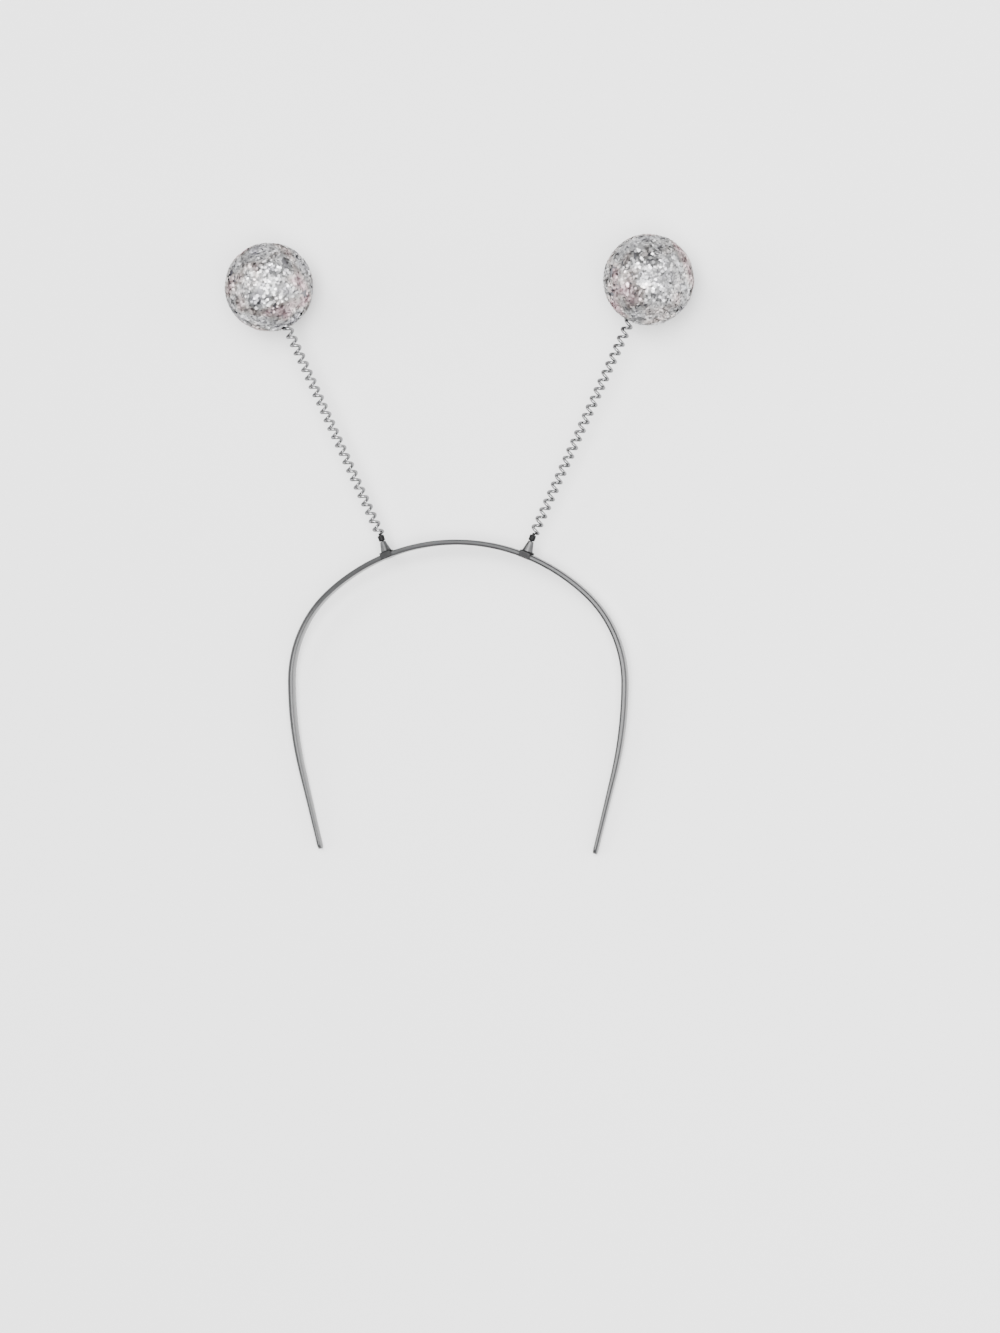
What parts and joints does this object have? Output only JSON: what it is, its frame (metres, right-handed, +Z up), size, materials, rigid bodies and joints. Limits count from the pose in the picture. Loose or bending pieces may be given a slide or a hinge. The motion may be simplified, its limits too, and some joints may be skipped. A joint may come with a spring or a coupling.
{
  "type": "alien antenna headband",
  "caption": "Costume headband with springy antennae: a slim curved plastic band, clip-on open coil springs and a silver glitter ball at each tip.",
  "frame": {"origin": "middle of the footprint, on the surface that the headband lies on", "axes": "+X to the right of the antennae as seen from the front, +Y from the tips of the band towards the balls, +Z up, the way the front of the band looks while it lies on its back"},
  "size_m": [0.2048, 0.2582, 0.0379],
  "materials": {
    "band_plastic": "glossy dark grey moulded plastic",
    "clip_metal": "grey folded metal, satin",
    "peg_plastic": "black plastic, satin",
    "spring_steel": "bright spring wire",
    "glitter_foam": "foam ball coated all over with silver glitter"
  },
  "bodies": {
    "band": {"headband": "band_plastic", "clip_left": "clip_metal", "clip_right": "clip_metal", "peg_left": "peg_plastic", "peg_right": "peg_plastic"},
    "antenna_left": {"spring_left": "spring_steel", "ball_left": "glitter_foam"},
    "antenna_right": {"spring_right": "spring_steel", "ball_right": "glitter_foam"}
  },
  "joints": [
    {"name": "sway_left", "type": "hinge", "parent": "band", "child": "antenna_left", "pos_m": [-0.04464, 0.02763, 0.01311], "axis": [0, 0, -1], "range_deg": [-35, 35], "stiffness_Nm_per_rad": 0.0155, "deforming": ["spring_left"]},
    {"name": "sway_right", "type": "hinge", "parent": "band", "child": "antenna_right", "pos_m": [0.04464, 0.02763, 0.01311], "axis": [0, 0, 1], "range_deg": [-35, 35], "stiffness_Nm_per_rad": 0.0155, "deforming": ["spring_right"]}
  ]
}
